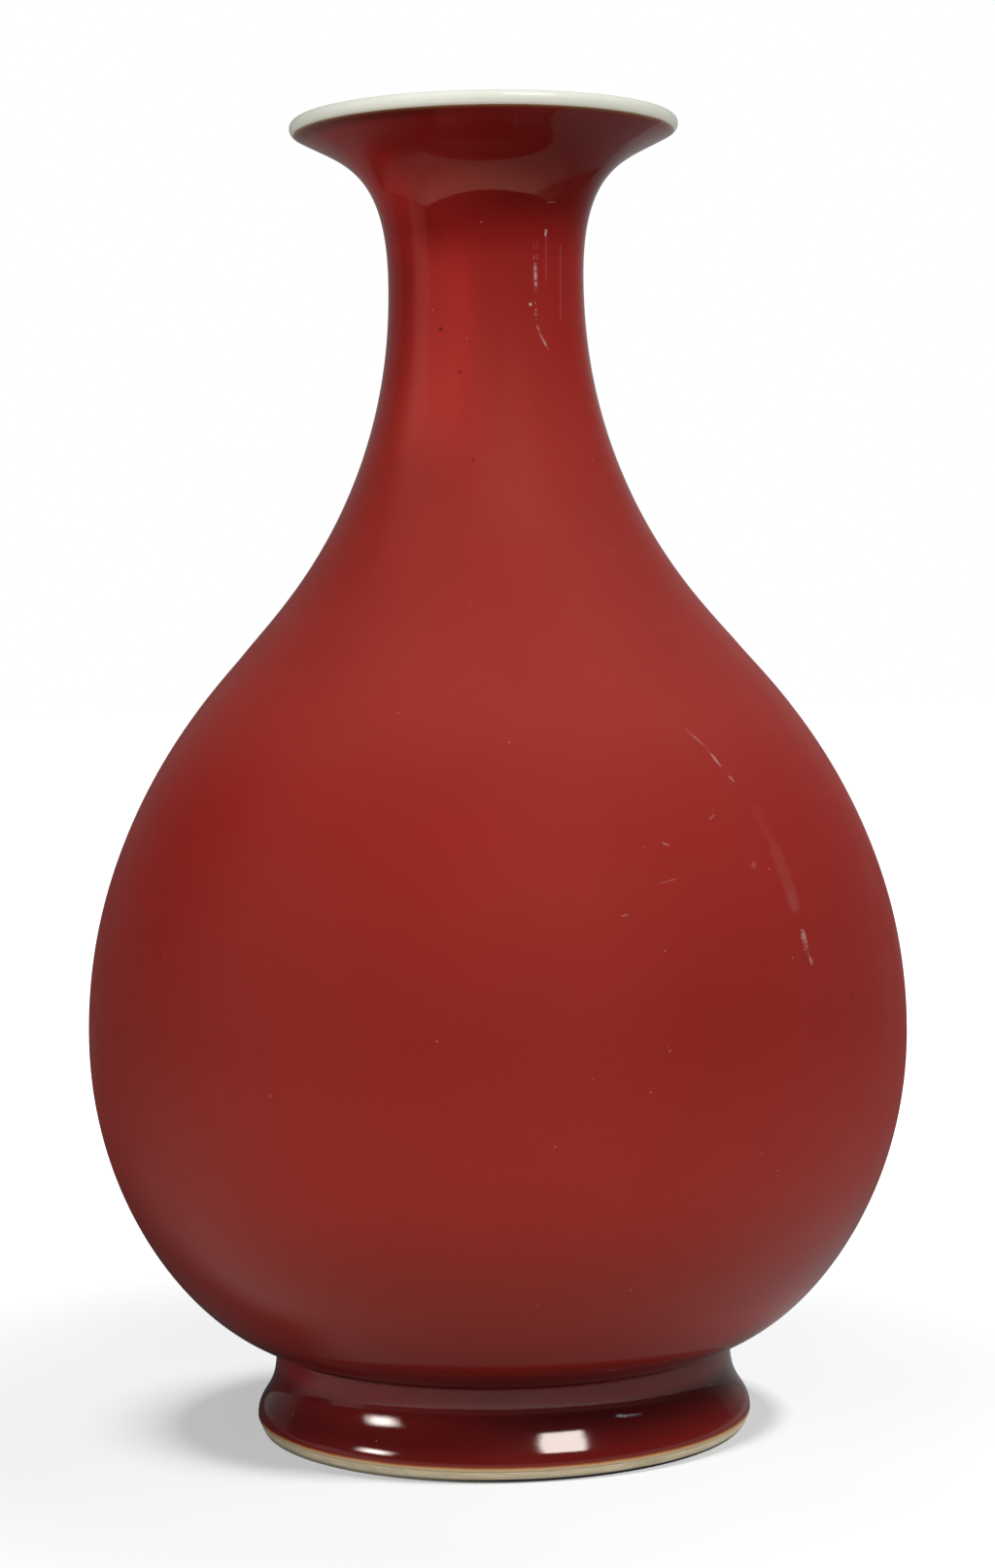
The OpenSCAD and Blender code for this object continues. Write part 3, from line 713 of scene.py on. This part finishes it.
front_edge = [(x * 0.001, (-440 + 0.00025 * (x + 150) ** 2) * 0.001, -0.0002) for x in range(-800, 801, 50)]
table = plane("studio_table", front_edge + [(0.8, 0.7, -0.0002), (-0.8, 0.7, -0.0002)], table_material())
table.visible_camera = table.visible_shadow = False
flag_rim = [(0.10 + 1.10 * k, a) for k, steps in ((0, range(-115, 126, 5)), (1, range(125, -116, -5))) for a in steps]
flag = plane("studio_flag", [(r * math.sin(math.radians(a)), -r * math.cos(math.radians(a)), 0.10) for r, a in flag_rim][::-1], flag_material())
flag.visible_camera = flag.visible_shadow = flag.visible_diffuse = False

cam_data = bpy.data.cameras.new("camera")
cam_data.lens = 73.58
cam_data.sensor_width = 36.0
cam = bpy.data.objects.new("camera", cam_data)
cam.matrix_world = (
    Matrix.Translation((0.00077, -0.7269, 0.1828))
    @ Matrix.Rotation(math.pi / 2 - 0.0510, 4, "X")
    @ Matrix.Rotation(-0.0162, 4, "Z")
)
scene.collection.objects.link(cam)
scene.camera = cam


def toward(az, el):
    """Direction at azimuth az (0 towards the camera, + to its right) and elevation el, in degrees."""
    a, e = math.radians(az), math.radians(el)
    return Vector((math.sin(a) * math.cos(e), -math.cos(a) * math.cos(e), math.sin(e)))


def group_of(name, objects):
    group = bpy.data.collections.new(name)
    for o in objects:
        group.objects.link(o)
    return group


def soften(data, edge):
    """Lets a softbox fade out towards its rim, over the part edge of its width and height."""
    data.use_nodes = True
    g = Net(tree=data.node_tree)
    sep = g.nt.nodes.new("ShaderNodeSeparateXYZ")
    g.nt.links.new(g.node("NewGeometry", out="Parametric"), sep.inputs[0])
    fade = [g.span(g.math("ABSOLUTE", g.sub(c, 0.5)), 0.5, 0.5 - edge) for c in sep.outputs[:2]]
    emit = g.node("Emission", sockets={"Strength": g.mul(*fade)})
    g.nt.links.new(emit, g.nt.nodes.new("ShaderNodeOutputLight").inputs[0])


def area(name, az, el, distance, width, height, watts, target, lights, shadows=None, gloss=True, matte=True, edge=0.0, roll=0.0):
    """A softbox at a place round the target. lights are the pieces that it lights, and shadows those that shade them."""
    data = bpy.data.lights.new(name, "AREA")
    data.shape = "RECTANGLE"
    data.size, data.size_y = width, height
    data.energy = watts
    if edge:
        soften(data, edge)
    ob = bpy.data.objects.new(name, data)
    d = toward(az, el)
    ob.location = Vector(target) + d * distance
    ob.rotation_mode = "QUATERNION"
    ob.rotation_quaternion = (-d).to_track_quat("-Z", "Y") @ Quaternion((0, 0, 1), math.radians(roll))
    ob.visible_camera = False
    ob.visible_glossy, ob.visible_diffuse = gloss, matte
    scene.collection.objects.link(ob)
    ob.light_linking.receiver_collection = group_of(name + "_lights", lights)
    if shadows:
        ob.light_linking.blocker_collection = group_of(name + "_shadows", shadows)
    return ob


foot_pieces = [foot_coat, foot_ring]
area("floor_key", 82, 33, 1.3, 0.45, 0.45, 140.0, (0, 0, 0), [floor], foot_pieces, gloss=False)
area("floor_fill", -65, 58, 1.3, 0.3, 0.3, 72.0, (0, 0, 0), [floor], foot_pieces, gloss=False)
area("glint_right", 34, 50, 1.4, 0.52, 0.90, 30.0, (0, 0, 0.01), [foot_coat], foot_pieces, matte=False, edge=0.16, roll=-14)
area("glint_left", -62, 18.5, 1.4, 0.56, 0.50, 26.0, (0, 0, 0.01), [foot_coat], foot_pieces, matte=False, edge=0.45)
area("lip_light", 33, 48, 1.4, 0.6, 0.6, 6.0, (0, 0, 0.29), [lip_coat, inner_coat], matte=False)
area("lip_fill", -50, 35, 1.4, 0.6, 0.6, 3.0, (0, 0, 0.29), [lip_coat, inner_coat], gloss=False)
area("lip_under", -15, -60, 1.4, 0.6, 0.6, 5.5, (0, 0, 0.29), [lip_coat], [lip_coat], gloss=False)


def soft_sun(name, az, el, angle, strength, lights):
    """A broad soft light on the matt part of the look; the gloss does not mirror it."""
    data = bpy.data.lights.new(name, "SUN")
    data.angle, data.energy = math.radians(angle), strength
    ob = bpy.data.objects.new(name, data)
    ob.rotation_mode = "QUATERNION"
    ob.rotation_quaternion = (-toward(az, el)).to_track_quat("-Z", "Y")
    ob.visible_camera = ob.visible_glossy = False
    scene.collection.objects.link(ob)
    ob.light_linking.receiver_collection = group_of(name + "_lights", lights)


SOFT_SUNS = [(-58, 18, 50, 0.56), (19, 30, 56, 1.79), (95, 43, 50, 0.55), (120, -15, 50, 0.68), (120, 30, 50, 0.21)]
coats = [body_coat, foot_coat, lip_coat, inner_coat, base_coat, foot_ring] + [
    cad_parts[k] for k in ("neck_section", "upper_belly", "lower_belly", "neck_joint_slip", "belly_joint_slip", "foot_joint_slip")]
for i, (az, el, angle, strength) in enumerate(SOFT_SUNS):
    soft_sun("soft_%d" % (i + 1), az, el, angle, strength, coats)


def studio_world():
    """White for the camera, and the dim walls and ceiling that the gloss mirrors."""
    world = bpy.data.worlds.new("studio")
    scene.world = world
    world.use_nodes = True
    g = Net(tree=world.node_tree)
    out = g.nt.nodes.new("ShaderNodeOutputWorld")
    tc = g.nt.nodes.new("ShaderNodeTexCoord")
    way = tc.outputs["Generated"]
    sep = g.nt.nodes.new("ShaderNodeSeparateXYZ")
    g.nt.links.new(way, sep.inputs[0])
    x, y, z = sep.outputs
    # Walls, ceiling and panels, by azimuth and elevation in degrees
    az = g.mul(g.math("ARCTAN2", x, g.mul(y, -1.0)), 180 / math.pi)
    el = g.mul(g.math("ARCSINE", z), 180 / math.pi)
    front = g.ramp(g.span(el, -20.0, 90.0, smooth=False), [((e + 20) / 110, (v, v, v)) for e, v in FRONT_BY_EL])
    sides = g.ramp(g.span(az, -180.0, 180.0, smooth=False), [((a + 180) / 360, (v, v, v)) for a, v in SIDE_BY_AZ])
    which = g.ramp(g.span(az, -180.0, 180.0, smooth=False), [((a + 180) / 360, (v, v, v)) for a, v in FRONT_WEIGHT])
    walls = g.mix(which, sides, front)
    walls = g.mix(g.span(el, 45.0, 75.0), walls, (TOP, TOP, TOP))
    for a0, a1, e0, e1, edge, value in PANELS:
        w = g.mul(g.span(az, a0 - edge, a0 + edge), g.span(az, a1 + edge, a1 - edge))
        w = g.mul(w, g.mul(g.span(el, e0 - edge, e0 + edge), g.span(el, e1 + edge, e1 - edge)))
        walls = g.add(walls, g.mul(w, value))
    shades = []
    for color in (walls, None):
        b = g.nt.nodes.new("ShaderNodeBackground")
        b.inputs[0].default_value = (1, 1, 1, 1)
        if color is not None:
            g.put(b.inputs[0], g.grey(color))
        shades.append(b.outputs[0])
    path = g.nt.nodes.new("ShaderNodeLightPath")
    m = g.node("MixShader", sockets={0: path.outputs["Is Camera Ray"], 1: shades[0], 2: shades[1]})
    g.nt.links.new(m, out.inputs[0])
    world.cycles.sampling_method = "NONE"


FRONT_BY_EL = [(-20, 0.0), (-4, 0.01), (1, 0.15), (8, 0.24), (16, 0.30), (26, 0.36), (36, 0.40), (50, 0.46), (70, 0.54), (90, 0.56)]
SIDE_BY_AZ = [(-180, 0.20), (-155, 0.18), (-138, 0.14), (-123, 0.11), (-114, 0.04), (-98, 0.03), (-60, 0.03), (60, 0.05), (80, 0.05),
              (107, 0.04), (124, 0.09), (140, 0.15), (156, 0.25), (168, 0.32), (180, 0.24)]
FRONT_WEIGHT = [(-180, 0.0), (-103, 0.0), (-92, 0.7), (-85, 1.0), (55, 1.0), (80, 0.5), (95, 0.25), (115, 0.1), (130, 0.0), (180, 0.0)]
TOP = 0.54
PANELS = [(-93, -72, -20, 32, 3, 0.28), (30, 62, 44, 62, 4, 0.15)]
studio_world()
scene.view_settings.view_transform = "Standard"
scene.view_settings.look = "None"

bpy.context.view_layer.update()
